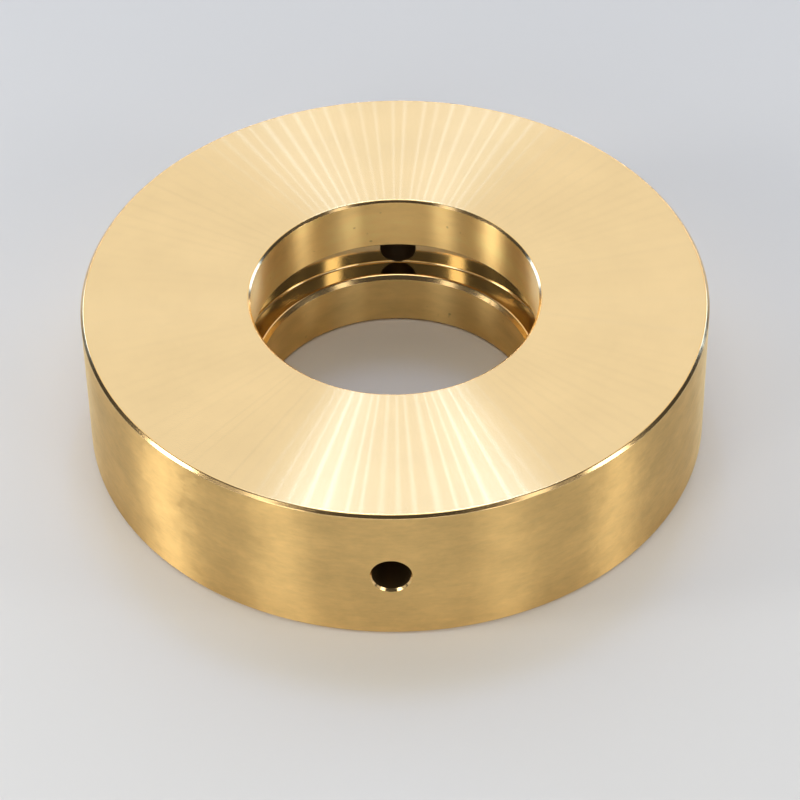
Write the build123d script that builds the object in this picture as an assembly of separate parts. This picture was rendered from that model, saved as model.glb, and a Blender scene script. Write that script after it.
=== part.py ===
"""A turned brass backup ring, 100 mm across, in one piece.

The ring is cut from bar and turned all over. Its bore has two lands: an upper one, open at the top face, and
a slightly smaller lower one. A square groove runs round the bore between them at mid-height. One drill pass
along a diameter goes through both walls into that groove, and each hole is countersunk outside.

Sizes are in millimetres. +Z is the ring's axis, Z = 0 is the face that it stands on, and the drilled holes
open along -Y, the front, and +Y.
"""

import os

from build123d import *

# Outside of the ring
outer_diameter = 100.0
height = 25.5
rim_chamfer = 0.5

# Bore: two lands with a groove between them, centred on the ring's mid-height
upper_bore_diameter = 46.0
land_step = 0.75
mouth_chamfer = 0.4
groove_depth = 3.1
groove_width = 6.2
groove_corner_radius = 0.35
upper_land_chamfer = 0.3
lower_land_chamfer = 0.7

# Cross holes, drilled in one pass along the diameter
hole_diameter = 6.0
hole_chamfer = 0.35

outer_radius = outer_diameter / 2
upper_bore_radius = upper_bore_diameter / 2
lower_bore_radius = upper_bore_radius - land_step
groove_radius = upper_bore_radius + groove_depth
hole_radius = hole_diameter / 2
mid_height = height / 2
groove_floor = mid_height - groove_width / 2
groove_roof = mid_height + groove_width / 2


def ring_section():
    """The ring's section, as radius and height, with its broken edges and the groove's corner radii."""
    top_rim = (outer_radius, height)
    bottom_rim = (outer_radius, 0)
    lower_mouth = (lower_bore_radius, 0)
    lower_land_edge = (lower_bore_radius, groove_floor)
    floor_corner = (groove_radius, groove_floor)
    roof_corner = (groove_radius, groove_roof)
    upper_land_edge = (upper_bore_radius, groove_roof)
    upper_mouth = (upper_bore_radius, height)

    def corners(sketch, *points):
        """The sketch's vertices that lie at these corners of the section."""
        return [sketch.vertices().sort_by_distance(Plane.XZ.from_local_coords(p))[0] for p in points]

    with BuildSketch(Plane.XZ) as section:
        with BuildLine():
            Polyline(
                top_rim,
                bottom_rim,
                lower_mouth,
                lower_land_edge,
                floor_corner,
                roof_corner,
                upper_land_edge,
                upper_mouth,
                close=True,
            )
        make_face()
    face = section.sketch
    face = chamfer(corners(face, top_rim, bottom_rim), rim_chamfer)
    face = chamfer(corners(face, upper_mouth, lower_mouth), mouth_chamfer)
    face = chamfer(corners(face, upper_land_edge), upper_land_chamfer)
    face = chamfer(corners(face, lower_land_edge), lower_land_chamfer)
    return fillet(corners(face, floor_corner, roof_corner), groove_corner_radius)


def cross_drilling():
    """The drill's path along the diameter, with a countersink where it meets the outside at each end."""
    drill = Rot(X=90) * Cylinder(hole_radius, outer_diameter)
    countersink = Cone(
        bottom_radius=hole_radius,
        top_radius=hole_radius + hole_chamfer,
        height=hole_chamfer,
        align=(Align.CENTER, Align.CENTER, Align.MAX),
    )
    front = Pos(Y=-outer_radius) * Rot(X=90) * countersink
    rear = Pos(Y=outer_radius) * Rot(X=-90) * countersink
    return Pos(Z=mid_height) * (drill + front + rear)


ring = revolve(ring_section(), Axis.Z, 360) - cross_drilling()

os.makedirs("parts", exist_ok=True)
export_step(ring, "parts/ring_body.step")
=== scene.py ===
"""The looks of the brass backup ring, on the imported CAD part, in metres and in the CAD part's frame."""

import bpy
import numpy as np
from mathutils import Matrix


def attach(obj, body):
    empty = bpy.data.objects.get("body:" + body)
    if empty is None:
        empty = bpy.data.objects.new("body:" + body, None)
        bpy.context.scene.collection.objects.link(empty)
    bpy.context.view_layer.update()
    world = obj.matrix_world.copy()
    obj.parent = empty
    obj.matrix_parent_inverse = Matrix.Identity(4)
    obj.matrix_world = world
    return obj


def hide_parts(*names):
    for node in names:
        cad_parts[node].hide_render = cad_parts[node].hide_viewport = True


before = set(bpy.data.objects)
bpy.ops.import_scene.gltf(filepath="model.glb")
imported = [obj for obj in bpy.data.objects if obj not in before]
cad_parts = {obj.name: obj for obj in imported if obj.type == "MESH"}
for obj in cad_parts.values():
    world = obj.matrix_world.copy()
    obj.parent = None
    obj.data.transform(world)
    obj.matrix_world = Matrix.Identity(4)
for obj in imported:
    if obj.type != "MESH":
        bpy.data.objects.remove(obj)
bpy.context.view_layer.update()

# The ring: one piece of brass, turned all over. The faces are faced on a lathe, the outside and the two lands
# are brushed round, and the groove and every edge are left bright. A drill has gone through both walls into
# the groove. It is one closed mesh, worked out in millimetres.

MM = 0.001
OUTER, HEIGHT, MIDDLE = 50.0, 25.5, 12.75
UPPER, LOWER, GROOVE = 23.0, 22.25, 26.1
GROOVE_HALF, GROOVE_CORNER = 3.1, 0.35
GROOVE_FLOOR, GROOVE_ROOF = MIDDLE - GROOVE_HALF, MIDDLE + GROOVE_HALF
HOLE, COUNTERSINK = 3.0, 0.35
RIM_CHAMFER, MOUTH_CHAMFER, UPPER_CHAMFER, LOWER_CHAMFER = 0.5, 0.4, 0.3, 0.7

# How far the edges are rounded: the fine ones in the bore, and the worn ones at the rims.
FINE, WORN = 0.07, 0.15

FINISHES = ["turned", "brushed", "land", "groove", "edge", "drilled"]
ARC_STEPS = 6


def rounded_section(corners):
    """The ring's section as points and outward normals, run clockwise with the material on the right.

    Each corner is (radius, height, rounding, finish of the line that follows). A corner's arc touches both of
    its lines, with its centre on the side that they turn to, and its normals turn evenly from one line's to
    the next's. A step has the finish that it starts with, and an arc beside an edge has the edge's."""
    points, normals, finishes = [], [], []
    place = np.array([c[:2] for c in corners], float)
    for i, (_, _, rounding, finish) in enumerate(corners):
        before = place[i] - place[i - 1]
        after = place[(i + 1) % len(corners)] - place[i]
        before, after = before / np.linalg.norm(before), after / np.linalg.norm(after)
        turn = np.arctan2(before[0] * after[1] - before[1] * after[0], before @ after)
        side = np.sign(turn)
        x, y = -before[1], before[0]
        centre = place[i] - before * rounding * np.tan(abs(turn) / 2) + side * np.array([x, y]) * rounding
        angles = turn * np.linspace(0, 1, ARC_STEPS + 1)
        cos, sin = np.cos(angles), np.sin(angles)
        normal = np.stack([x * cos - y * sin, x * sin + y * cos], axis=1)
        points.append(centre - side * rounding * normal)
        normals.append(normal)
        finishes += ["edge" if "edge" in (corners[i - 1][3], finish) else finish] * ARC_STEPS + [finish]
    return np.concatenate(points), np.concatenate(normals), finishes


section, section_normals, section_finishes = rounded_section(
    [
        (UPPER + MOUTH_CHAMFER, HEIGHT, 0.3, "turned"),
        (OUTER - RIM_CHAMFER, HEIGHT, 0.4, "edge"),
        (OUTER, HEIGHT - RIM_CHAMFER, WORN, "brushed"),
        (OUTER, RIM_CHAMFER, WORN, "edge"),
        (OUTER - RIM_CHAMFER, 0, WORN, "turned"),
        (LOWER + MOUTH_CHAMFER, 0, FINE, "edge"),
        (LOWER, MOUTH_CHAMFER, FINE, "land"),
        (LOWER, GROOVE_FLOOR - LOWER_CHAMFER, FINE, "edge"),
        (LOWER + LOWER_CHAMFER, GROOVE_FLOOR, 0.6, "groove"),
        (GROOVE, GROOVE_FLOOR, GROOVE_CORNER, "groove"),
        (GROOVE, GROOVE_ROOF, GROOVE_CORNER, "groove"),
        (UPPER + UPPER_CHAMFER, GROOVE_ROOF, FINE, "edge"),
        (UPPER, GROOVE_ROOF + UPPER_CHAMFER, FINE, "land"),
        (UPPER, HEIGHT - MOUTH_CHAMFER, FINE, "edge"),
    ]
)


def insert_after(start, points):
    """Adds section points on the straight line that starts at this one, with its normal and its finish."""
    global section, section_normals, section_finishes
    normals = np.repeat(section_normals[[start]], len(points), axis=0)
    section = np.insert(section, start + 1, points, axis=0)
    section_normals = np.insert(section_normals, start + 1, normals, axis=0)
    section_finishes[start + 1 : start + 1] = [section_finishes[start]] * len(points)


def insert_height(height, radius):
    """Adds a section point at this height on the upright line at this radius, and returns its number."""
    upright = np.isclose(section[:-1, 0], radius) & np.isclose(section[1:, 0], radius)
    heights = np.sort(np.stack([section[:-1, 1], section[1:, 1]]), axis=0)
    start = int(np.flatnonzero(upright & (heights[0] < height) & (height < heights[1]))[0])
    insert_after(start, [[radius, height]])
    return start + 1


def split_line(start, count):
    """Splits the straight line that starts at a section point into this many even steps."""
    share = np.linspace(0, 1, count + 1)[1:-1, None]
    insert_after(start, section[start] + share * (section[start + 1] - section[start]))


# The turned surface leaves a window open round each end of both holes, on the outside and on the groove's
# wall. A window has the same number of steps on each side, and columns that are finer than the others' one
# degree.

WINDOW_STEPS = 24
WINDOW_HALF_HEIGHT = 7.0
WINDOW_HALF_ANGLE = np.radians(8.0)

outside_top = insert_height(MIDDLE + WINDOW_HALF_HEIGHT, OUTER)
insert_height(MIDDLE - WINDOW_HALF_HEIGHT, OUTER)
split_line(outside_top, WINDOW_STEPS)
wall_bottom = int(np.argmin(np.linalg.norm(section - (GROOVE, GROOVE_FLOOR + GROOVE_CORNER), axis=1)))
split_line(wall_bottom, WINDOW_STEPS - 2 * ARC_STEPS)
groove_bottom = wall_bottom - ARC_STEPS

degrees_between = round(np.degrees(np.pi - 2 * WINDOW_HALF_ANGLE))
across = np.linspace(-WINDOW_HALF_ANGLE, WINDOW_HALF_ANGLE, WINDOW_STEPS + 1)
between = np.linspace(WINDOW_HALF_ANGLE, np.pi - WINDOW_HALF_ANGLE, degrees_between + 1)[1:-1]
angles = np.concatenate([across, between, across + np.pi, between + np.pi])

faces, face_normals, face_finishes = [], [], []


def place_round(radius, angle, height):
    """Points at these radii and heights, at angles measured round the axis from the front.

    Directions are found in the same way, from their outward and upward parts."""
    return np.stack([radius * np.sin(angle), -radius * np.cos(angle), height + 0 * angle], axis=-1)


def add(points, normals, finish, keep=True):
    """Adds the four-sided faces between the rows of a grid, which close on themselves, where keep is true.

    The faces' corners have the grid's normals. The finish is one number, or one for each face."""
    quads = []
    for grid in (points, normals):
        ahead = np.roll(grid, -1, axis=1)
        quads.append(np.stack([grid[:-1], ahead[:-1], ahead[1:], grid[1:]], axis=2))
    kept = np.broadcast_to(keep, quads[0].shape[:2])
    faces.append(quads[0][kept])
    face_normals.append(quads[1][kept])
    face_finishes.append(np.broadcast_to(finish, kept.shape)[kept])


closed = np.vstack([section, section[:1]])
closed_normals = np.vstack([section_normals, section_normals[:1]])
second_window = len(angles) // 2
rows = np.r_[outside_top : outside_top + WINDOW_STEPS, groove_bottom : groove_bottom + WINDOW_STEPS]
columns = np.r_[0:WINDOW_STEPS, second_window : second_window + WINDOW_STEPS]
beside_windows = np.ones((len(section), len(angles)), bool)
beside_windows[np.ix_(rows, columns)] = False
add(
    place_round(closed[:, :1], angles, closed[:, 1:]),
    place_round(closed_normals[:, :1], angles, closed_normals[:, 1:]),
    np.array([[FINISHES.index(finish)] for finish in section_finishes]),
    beside_windows,
)


def groove_wall(height):
    """The groove's wall at a height: its radius, and its normal's outward and upward parts.

    It is upright, with a quarter round at the groove's floor and at its roof."""
    past = np.clip(abs(height - MIDDLE) - (GROOVE_HALF - GROOVE_CORNER), 0, GROOVE_CORNER) / GROOVE_CORNER
    level = np.sqrt(1 - past**2)
    return GROOVE - GROOVE_CORNER + GROOVE_CORNER * level, -level, -np.sign(height - MIDDLE) * past


def outside_wall(height):
    """The outside at a height: its radius, and its normal's outward and upward parts."""
    return OUTER + 0 * height, 1 + 0 * height, 0 * height


def drilled(direction):
    """The drilled wall's radius, which is the same at each direction round the hole."""
    return HOLE + 0 * direction


def countersunk(direction):
    """The countersink's radius where its cone meets the outside, at each direction round the hole.

    The cone's radius grows as fast as it comes forward, and the outside falls back beside the hole, so the
    radius settles in a few rounds of putting one into the other."""
    radius = np.full(direction.shape, HOLE + COUNTERSINK)
    for _ in range(20):
        radius = HOLE + COUNTERSINK - (OUTER - np.sqrt(OUTER**2 - (radius * np.cos(direction)) ** 2))
    return radius


def window(wall, heights, mouth_radius, turn, finish):
    """The surface between a window's rim and the hole's mouth, as rings that pass from one to the other.

    The rim goes once round the window. Each of its points has a direction round the hole, for which its angle
    counts as a width at a radius between both walls'. The rings lie closer together near the mouth. Returns
    the directions and the mouth's points."""
    middle_radius, rings, crowding = 30.0, 12, 1.5
    side = np.full(WINDOW_STEPS, WINDOW_HALF_ANGLE)
    level = np.ones(WINDOW_STEPS)
    rim_angle = np.concatenate([across[:-1], side, across[:0:-1], -side])
    rim_height = np.concatenate([level * heights[0], heights[:-1], level * heights[-1], heights[:0:-1]])
    direction = np.arctan2(rim_height - MIDDLE, middle_radius * rim_angle)
    radius = mouth_radius(direction)
    mouth_height = MIDDLE + radius * np.sin(direction)
    mouth_angle = np.arcsin(radius * np.cos(direction) / wall(mouth_height)[0])
    share = np.linspace(0, 1, rings + 1)[:, None] ** crowding
    angle = mouth_angle + share * (rim_angle - mouth_angle) + turn
    height = mouth_height + share * (rim_height - mouth_height)
    wall_radius, outward, upward = wall(height)
    points = place_round(wall_radius, angle, height)
    add(points, place_round(outward, angle, upward), FINISHES.index(finish))
    return direction, points[0]


outside_heights = section[outside_top : outside_top + WINDOW_STEPS + 1, 1]
groove_heights = section[groove_bottom : groove_bottom + WINDOW_STEPS + 1, 1][::-1]
for turn in (0.0, np.pi):
    spin = np.array([[np.cos(turn), -np.sin(turn), 0], [np.sin(turn), np.cos(turn), 0], [0, 0, 1]])
    around, mouth = window(outside_wall, outside_heights, countersunk, turn, "brushed")
    inner_around, inner_mouth = window(groove_wall, groove_heights, drilled, turn, "groove")

    # The countersink is a cone with a slope of one to one.
    spoke = np.stack([np.cos(around), 0 * around, np.sin(around)], axis=-1)
    foot = (HOLE * spoke + (0, COUNTERSINK - OUTER, MIDDLE)) @ spin.T
    cone_normal = ((0, -1, 0) - spoke) / np.sqrt(2) @ spin.T
    share = np.linspace(0, 1, 3)[:, None, None]
    add(mouth + share * (foot - mouth), np.stack([cone_normal] * 3), FINISHES.index("edge"))

    # The drilled wall passes evenly from the directions of the outer window to those of the inner one.
    share = np.linspace(0, 1, 9)[:, None]
    direction = around + share * ((inner_around - around + np.pi) % (2 * np.pi) - np.pi)
    spoke = np.stack([np.cos(direction), 0 * direction, np.sin(direction)], axis=-1)
    start, end = COUNTERSINK - OUTER, (inner_mouth @ spin)[:, 1]
    depth = start + share * (end - start)
    wall = (HOLE * spoke + np.stack([0 * depth, depth, MIDDLE + 0 * depth], axis=-1)) @ spin.T
    wall[0], wall[-1] = foot, inner_mouth
    add(wall, -spoke @ spin.T, FINISHES.index("drilled"))

points = np.concatenate(faces) * MM
normals = np.concatenate(face_normals)
normals /= np.linalg.norm(normals, axis=2, keepdims=True)

# Every face looks outwards: one that doesn't agree with its corners' normals is turned over.
facing = np.cross(points[:, 2] - points[:, 0], points[:, 3] - points[:, 1])
turned_over = np.einsum("ij,ij->i", facing, normals.sum(axis=1)) < 0
points[turned_over], normals[turned_over] = points[turned_over][:, ::-1], normals[turned_over][:, ::-1]

# Corners that lie within this many metres of each other are one vertex.
WELD = 2e-7
keys = np.round(points.reshape(-1, 3) / WELD).astype(np.int64)
_, first, corner = np.unique(keys, axis=0, return_index=True, return_inverse=True)
mesh = bpy.data.meshes.new("ring")
mesh.from_pydata(points.reshape(-1, 3)[first], [], corner.reshape(-1, 4))
mesh.polygons.foreach_set("material_index", np.concatenate(face_finishes).astype(np.int32))
mesh.polygons.foreach_set("use_smooth", np.ones(len(points), bool))
mesh.normals_split_custom_set(normals.reshape(-1, 3))
ring = bpy.data.objects.new("ring", mesh)
bpy.context.scene.collection.objects.link(ring)
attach(ring, "root")
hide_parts("ring_body")


class Finish:
    """A brass finish: even values on the shader, and nodes that vary some of them from place to place.

    place is the point on the object, round_axis the direction round the axis there, and along the direction
    along the section. The finishes are the mesh's materials in the order that they are made."""

    def __init__(self, name, colour, roughness, anisotropy):
        material = bpy.data.materials.new(name)
        material.use_nodes = True
        mesh.materials.append(material)
        self.tree, self.colour = material.node_tree, colour
        self.inputs = self.tree.nodes["Principled BSDF"].inputs
        self.inputs["Base Color"].default_value = (*colour, 1)
        self.inputs["Metallic"].default_value = 1
        self.inputs["Roughness"].default_value = roughness
        self.inputs["Anisotropic"].default_value = anisotropy
        self.place = self.node("ShaderNodeTexCoord", output="Object")
        self.normal = self.node("ShaderNodeNewGeometry", output="Normal")
        self.round_axis = self.vector("NORMALIZE", self.vector("CROSS_PRODUCT", (0, 0, 1), self.place))
        self.along = self.vector("CROSS_PRODUCT", self.normal, self.round_axis)

    def node(self, kind, *values, operation=None, output=0, **named):
        """Adds a node, sets or links its first inputs and its named ones, and returns one of its outputs."""
        made = self.tree.nodes.new(kind)
        if operation:
            made.operation = operation
        for key, value in (*enumerate(values), *named.items()):
            if isinstance(value, bpy.types.NodeSocket):
                self.tree.links.new(value, made.inputs[key])
            else:
                made.inputs[key].default_value = value
        return made.outputs[output]

    def math(self, operation, *values):
        """One step of arithmetic on values."""
        return self.node("ShaderNodeMath", *values, operation=operation)

    def vector(self, operation, *values, **named):
        """One step of arithmetic on vectors."""
        return self.node("ShaderNodeVectorMath", *values, operation=operation, **named)

    def total(self, *shares, start=0.0):
        """A starting number plus some values, each times its share."""
        for value, share in shares:
            start = self.math("MULTIPLY_ADD", value, share, start)
        return start

    def noise(self, scale, detail, roughness, vector=None):
        """Even noise about zero, from about -0.5 to 0.5, at the place or at a vector.

        The scale is one number, or one for each axis."""
        vector = vector or self.place
        if isinstance(scale, tuple):
            vector, scale = self.vector("MULTIPLY", vector, scale), 1.0
        named = {"Vector": vector, "Scale": scale, "Detail": detail, "Roughness": roughness}
        return self.math("SUBTRACT", self.node("ShaderNodeTexNoise", **named), 0.5)

    def over(self, value, level, slope):
        """How far a value is over a level, times a slope, and kept from 0 to 1."""
        made = self.total((value, slope), start=-level * slope)
        made.node.use_clamp = True
        return made

    def link(self, socket, name):
        """Links a node's output to one of the shader's inputs."""
        self.tree.links.new(socket, self.inputs[name])

    def shade(self, *shares):
        """Makes the colour lighter or darker by the sum of some values, each times its share."""
        self.link(self.vector("SCALE", self.colour, Scale=self.total(*shares, start=1.0)), "Base Color")

    def tilt(self, *leans):
        """Leans the normal along each direction, by the sum of the values after it, each times its share."""
        normal = self.normal
        for direction, *shares in leans:
            normal = self.vector("ADD", normal, self.vector("SCALE", direction, Scale=self.total(*shares)))
        self.link(self.vector("NORMALIZE", normal), "Normal")

    def brush(self):
        """Runs the finish's fine lines round the axis, so that a highlight spreads along the section."""
        self.link(self.along, "Tangent")


# Turned faces: fine rings left by the tool, and faint rays where the face is a little rougher. The rays stand
# round the axis at even angles, which slow noise moves a little, and other noise makes some of them fainter.
SMOOTH, RAY_ROUGHER = 0.16, 0.085
RAYS = 112
turned = Finish("turned_brass", (0.84, 0.625, 0.33), SMOOTH, 1.0)
flat = turned.vector("MULTIPLY", turned.place, (1, 1, 0))
heading = turned.vector("NORMALIZE", flat)
parts = [turned.node("ShaderNodeSeparateXYZ", flat, output=axis) for axis in "XY"]
drift = turned.noise(9.0, 1.0, 0.5, heading)
wave = turned.math("SINE", turned.total((turned.math("ARCTAN2", *parts), RAYS / 2), (drift, 4.0)))
ray = turned.math("POWER", turned.math("ABSOLUTE", wave), 10.0)
strength = turned.total((turned.noise(22.0, 1.0, 0.5, heading), 1.5), start=0.6)
ray = turned.math("MULTIPLY", ray, strength)
turned.link(turned.total((ray, RAY_ROUGHER), start=SMOOTH), "Roughness")
from_axis = turned.node("ShaderNodeVectorMath", flat, operation="LENGTH", output="Value")
rings = turned.noise(2600.0, 2.0, 0.6, turned.node("ShaderNodeCombineXYZ", from_axis))
turned.shade((turned.noise(75.0, 4.0, 0.6), 0.15), (rings, 0.04))
turned.tilt((turned.along, (rings, 0.008)))
turned.brush()

# Brushed outside: fine scratches that run round, with soft mottling.
outside = Finish("brushed_brass", (0.80, 0.54, 0.21), 0.45, 0.96)
scratches = outside.noise((60, 60, 2400), 3.0, 0.6)
mottle, grain = outside.noise(90.0, 3.0, 0.6), outside.noise(800.0, 2.0, 0.6)
clouds, wiped = outside.noise((110, 110, 190), 5.0, 0.66), outside.noise((480, 480, 1700), 3.0, 0.6)
outside.shade((clouds, 0.48), (wiped, 0.22))
outside.tilt((outside.along, (scratches, 0.20)), (outside.round_axis, (mottle, 0.15), (grain, 0.10)))
outside.brush()

# Lands: brushed round like the outside, with shallower scratches and a few dark specks and scores. Their
# colour is raised to full brightness as painted light, and the lower land is painted darker as painted shade
# deep in the bore.
# Painted light: the brass colour is raised to full brightness so that the upper land looks lit.
lands = Finish("land_brass", (1.0, 0.70, 0.28), 0.45, 1.0)
scratches, mottle = lands.noise((80, 80, 2000), 3.0, 0.6), lands.noise(160.0, 2.0, 0.5)
tone = lands.noise((110, 110, 320), 4.0, 0.6)
specks = lands.over(lands.noise(900.0, 0.0, 0.5), 0.32, 10.0)
scores = lands.over(lands.noise((1500, 500, 260), 0.0, 0.5), 0.36, 10.0)
# Painted shade: below the middle height the colour is made darker, deep in the bore.
height = lands.node("ShaderNodeSeparateXYZ", lands.place, output="Z")
painted_shade_below_middle = lands.over(height, MIDDLE * MM, -500.0)
lands.shade((tone, 0.4), (specks, -0.5), (scores, -0.5), (painted_shade_below_middle, -0.22))
lands.tilt((lands.along, (scratches, 0.08)), (lands.round_axis, (mottle, 0.05)))
lands.brush()

# Groove: bright from the tool.
groove = Finish("bright_brass", (0.84, 0.64, 0.34), 0.12, 0.3)
groove.tilt((groove.along, (groove.noise(700.0, 2.0, 0.5), 0.02)))
groove.brush()

# Edges: chamfers and countersinks, bright and slightly uneven.
edges = Finish("edge_brass", (0.86, 0.58, 0.26), 0.16, 0.0)
edges.tilt((edges.along, (edges.noise(500.0, 2.0, 0.5), 0.06)))

# Drilled walls: rougher than the turned surfaces, and painted dark as painted shade inside the holes.
# Painted shade: the dark brown colour stands in for the shade inside the drilled holes.
walls = Finish("drilled_brass_painted_shade", (0.22, 0.14, 0.06), 0.5, 0.0)
walls.tilt((walls.along, (walls.noise(1800.0, 2.0, 0.5), 0.2)))

# Floor: a plain pale floor that the ring stands on.
HALF = 2.0
floor_mesh = bpy.data.meshes.new("floor")
corners = [(-HALF, -HALF, 0), (HALF, -HALF, 0), (HALF, HALF, 0), (-HALF, HALF, 0)]
floor_mesh.from_pydata(corners, [], [(0, 1, 2, 3)])
floor = bpy.data.objects.new("floor", floor_mesh)
bpy.context.scene.collection.objects.link(floor)
paint = bpy.data.materials.new("floor")
paint.use_nodes = True
paint_inputs = paint.node_tree.nodes["Principled BSDF"].inputs
paint_inputs["Base Color"].default_value = (0.71, 0.69, 0.64, 1)
paint_inputs["Roughness"].default_value = 0.9
paint_inputs["Specular IOR Level"].default_value = 0.1
floor_mesh.materials.append(paint)

# Lamps: soft boxes all round. The fan boxes make the bright fans on the top face, and the strips and the
# front boxes make the bright bands on the outside. The rim boxes light both ends of the rim.
WHITE, COOL = (1, 1, 1), (0.34, 0.53, 1.0)
AIM = (0, 0, 0.02)


def softbox(name, azimuth, elevation, distance, width, length, power, colour=WHITE):
    """A rectangular lamp that faces the ring from this azimuth, measured from the front, and elevation."""
    a, e = np.radians(azimuth), np.radians(elevation)
    away = np.array([np.sin(a) * np.cos(e), -np.cos(a) * np.cos(e), np.sin(e)])
    side = np.array([np.cos(a), np.sin(a), 0])
    data = bpy.data.lights.new(name, "AREA")
    data.shape, data.size, data.size_y, data.energy, data.color = "RECTANGLE", width, length, power, colour
    lamp = bpy.data.objects.new(name, data)
    bpy.context.scene.collection.objects.link(lamp)
    rows = zip(side, np.cross(away, side), away, away * distance + AIM)
    lamp.matrix_world = Matrix([*rows, (0, 0, 0, 1)])


softbox("overhead", 0, 80, 0.9, 0.50, 0.4, 1.6)
softbox("fan", 180, 63, 3.0, 0.80, 0.60, 7.8, COOL)
softbox("fan_left", -168.3, 63, 3.0, 0.13, 0.60, 3.7, COOL)
softbox("fan_right", 168.5, 63, 3.0, 0.13, 0.60, 4.2, COOL)
softbox("back", 180, 44, 1.2, 2.8, 1.6, 13.6)
softbox("low_back", 180, 3, 1.0, 1.5, 0.04, 1.8)
softbox("front", 0, 15, 0.6, 0.42, 0.2, 0.45)
softbox("left_front", -35, 20, 0.5, 0.12, 0.25, 0.44)
softbox("right_front", 34, 20, 0.5, 0.12, 0.25, 0.31)
softbox("left_mid", -54, 20, 0.5, 0.12, 0.25, 0.05)
softbox("right_mid", 53, 20, 0.5, 0.12, 0.25, 0.05)
softbox("left_strip", -76, 19, 0.5, 0.11, 0.25, 0.74)
softbox("right_strip", 73, 18, 0.5, 0.10, 0.25, 0.43)
softbox("left_high", -46, 42, 0.55, 0.08, 0.2, 0.08)
softbox("right_high", 48, 42, 0.55, 0.08, 0.2, 0.08)
softbox("left_rim", -128, 13, 0.5, 0.16, 0.12, 0.38, COOL)
softbox("right_rim", 128, 13, 0.5, 0.16, 0.12, 0.34, COOL)

world = bpy.context.scene.world or bpy.data.worlds.new("world")
bpy.context.scene.world = world
world.use_nodes = True
world.node_tree.nodes["Background"].inputs["Color"].default_value = (1, 1, 1, 1)
world.node_tree.nodes["Background"].inputs["Strength"].default_value = 0.06

# Camera: a long lens from the front and above, placed so that both rims and the bore fall where the photo
# has them.
camera_data = bpy.data.cameras.new("camera")
camera = bpy.data.objects.new("camera", camera_data)
bpy.context.scene.collection.objects.link(camera)
bpy.context.scene.camera = camera
camera_data.sensor_width = 36
camera_data.lens = 153.68
camera_data.clip_start, camera_data.clip_end = 0.01, 10
camera.location = (0.010469, -0.407232, 0.385649)
camera.rotation_euler = tuple(np.radians((46.7355, 0.6922, 0.7439)))
bpy.context.scene.view_settings.view_transform = "Standard"
